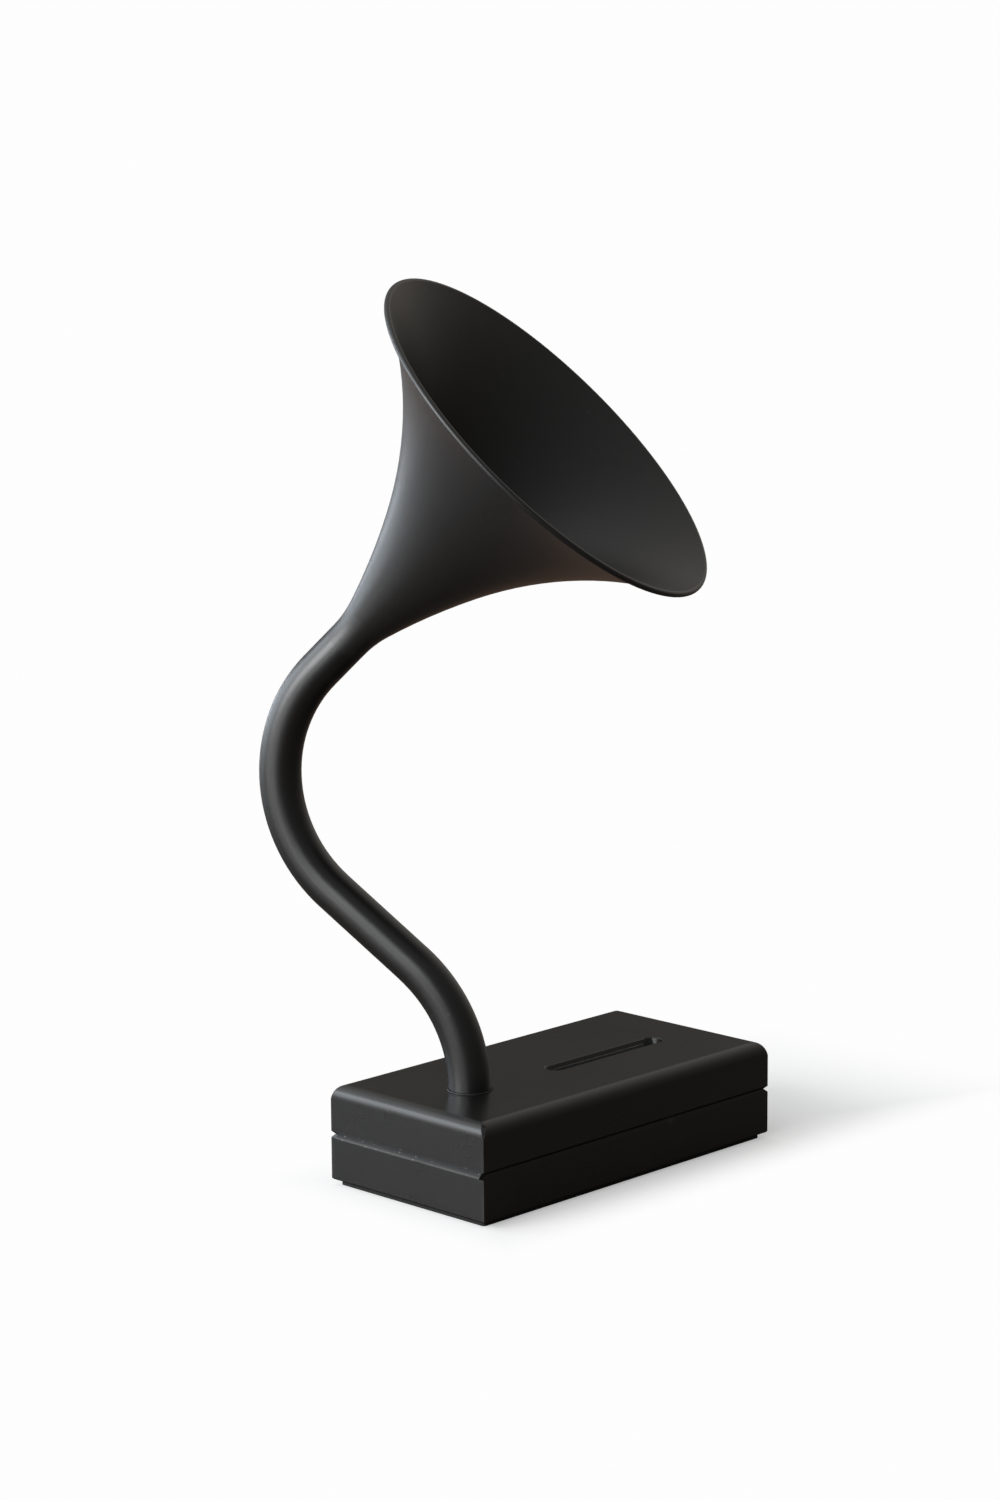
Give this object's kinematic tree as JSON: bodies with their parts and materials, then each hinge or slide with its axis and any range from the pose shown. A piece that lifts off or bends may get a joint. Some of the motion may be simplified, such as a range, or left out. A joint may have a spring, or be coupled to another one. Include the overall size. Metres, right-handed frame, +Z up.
{
  "type": "gramophone",
  "caption": "Passive table gramophone: a telephone stands in the slotted wooden base, and a swivelling S-bent neck carries its sound to a flared metal horn.",
  "frame": {"origin": "on the resting face, under the middle of the base", "axes": "+Z up, +X along the base from the neck's end to the slot's end, -Y to the front, where the horn's mouth opens and the telephone faces"},
  "size_m": [0.2636, 0.2305, 0.4738],
  "materials": {
    "board_paint": "satin black paint on fine-grained solid wood",
    "pad_rubber": "matt black rubber pad",
    "slot_felt": "black wool felt",
    "gasket_rubber": "matt dark rubber",
    "dowel_wood": "bare beech",
    "screw_steel": "zinc-plated steel",
    "bush_plastic": "black turned plastic",
    "neck_paint": "satin black powder coat on steel tube",
    "horn_paint": "satin black powder coat on spun steel sheet",
    "sleeve_brass": "bare turned brass",
    "rim_steel": "bare drawn steel wire"
  },
  "bodies": {
    "base": {"upper_block": "board_paint", "lower_block": "board_paint", "base_pad": "pad_rubber", "slot_front_felt": "slot_felt", "slot_back_felt": "slot_felt", "slot_floor_felt": "slot_felt", "duct_gasket": "gasket_rubber", "dowel_pins": "dowel_wood", "base_screws": "screw_steel", "socket_bush": "bush_plastic", "bush_screws": "screw_steel", "socket_rings": "gasket_rubber"},
    "seat": {"seat_ring": "gasket_rubber"},
    "horn": {"neck_tube": "neck_paint", "throat_sleeve": "sleeve_brass", "horn_bell": "horn_paint", "rim_wire": "rim_steel"}
  },
  "joints": [
    {"name": "neck_swivel", "type": "hinge", "parent": "base", "child": "seat", "pos_m": [-0.0673, -0.003, 0.0542], "axis": [0, 0, 1], "continuous": true},
    {"name": "neck_lift", "type": "slide", "parent": "seat", "child": "horn", "axis": [0, 0, 1], "range_m": [0, 0.03]}
  ]
}
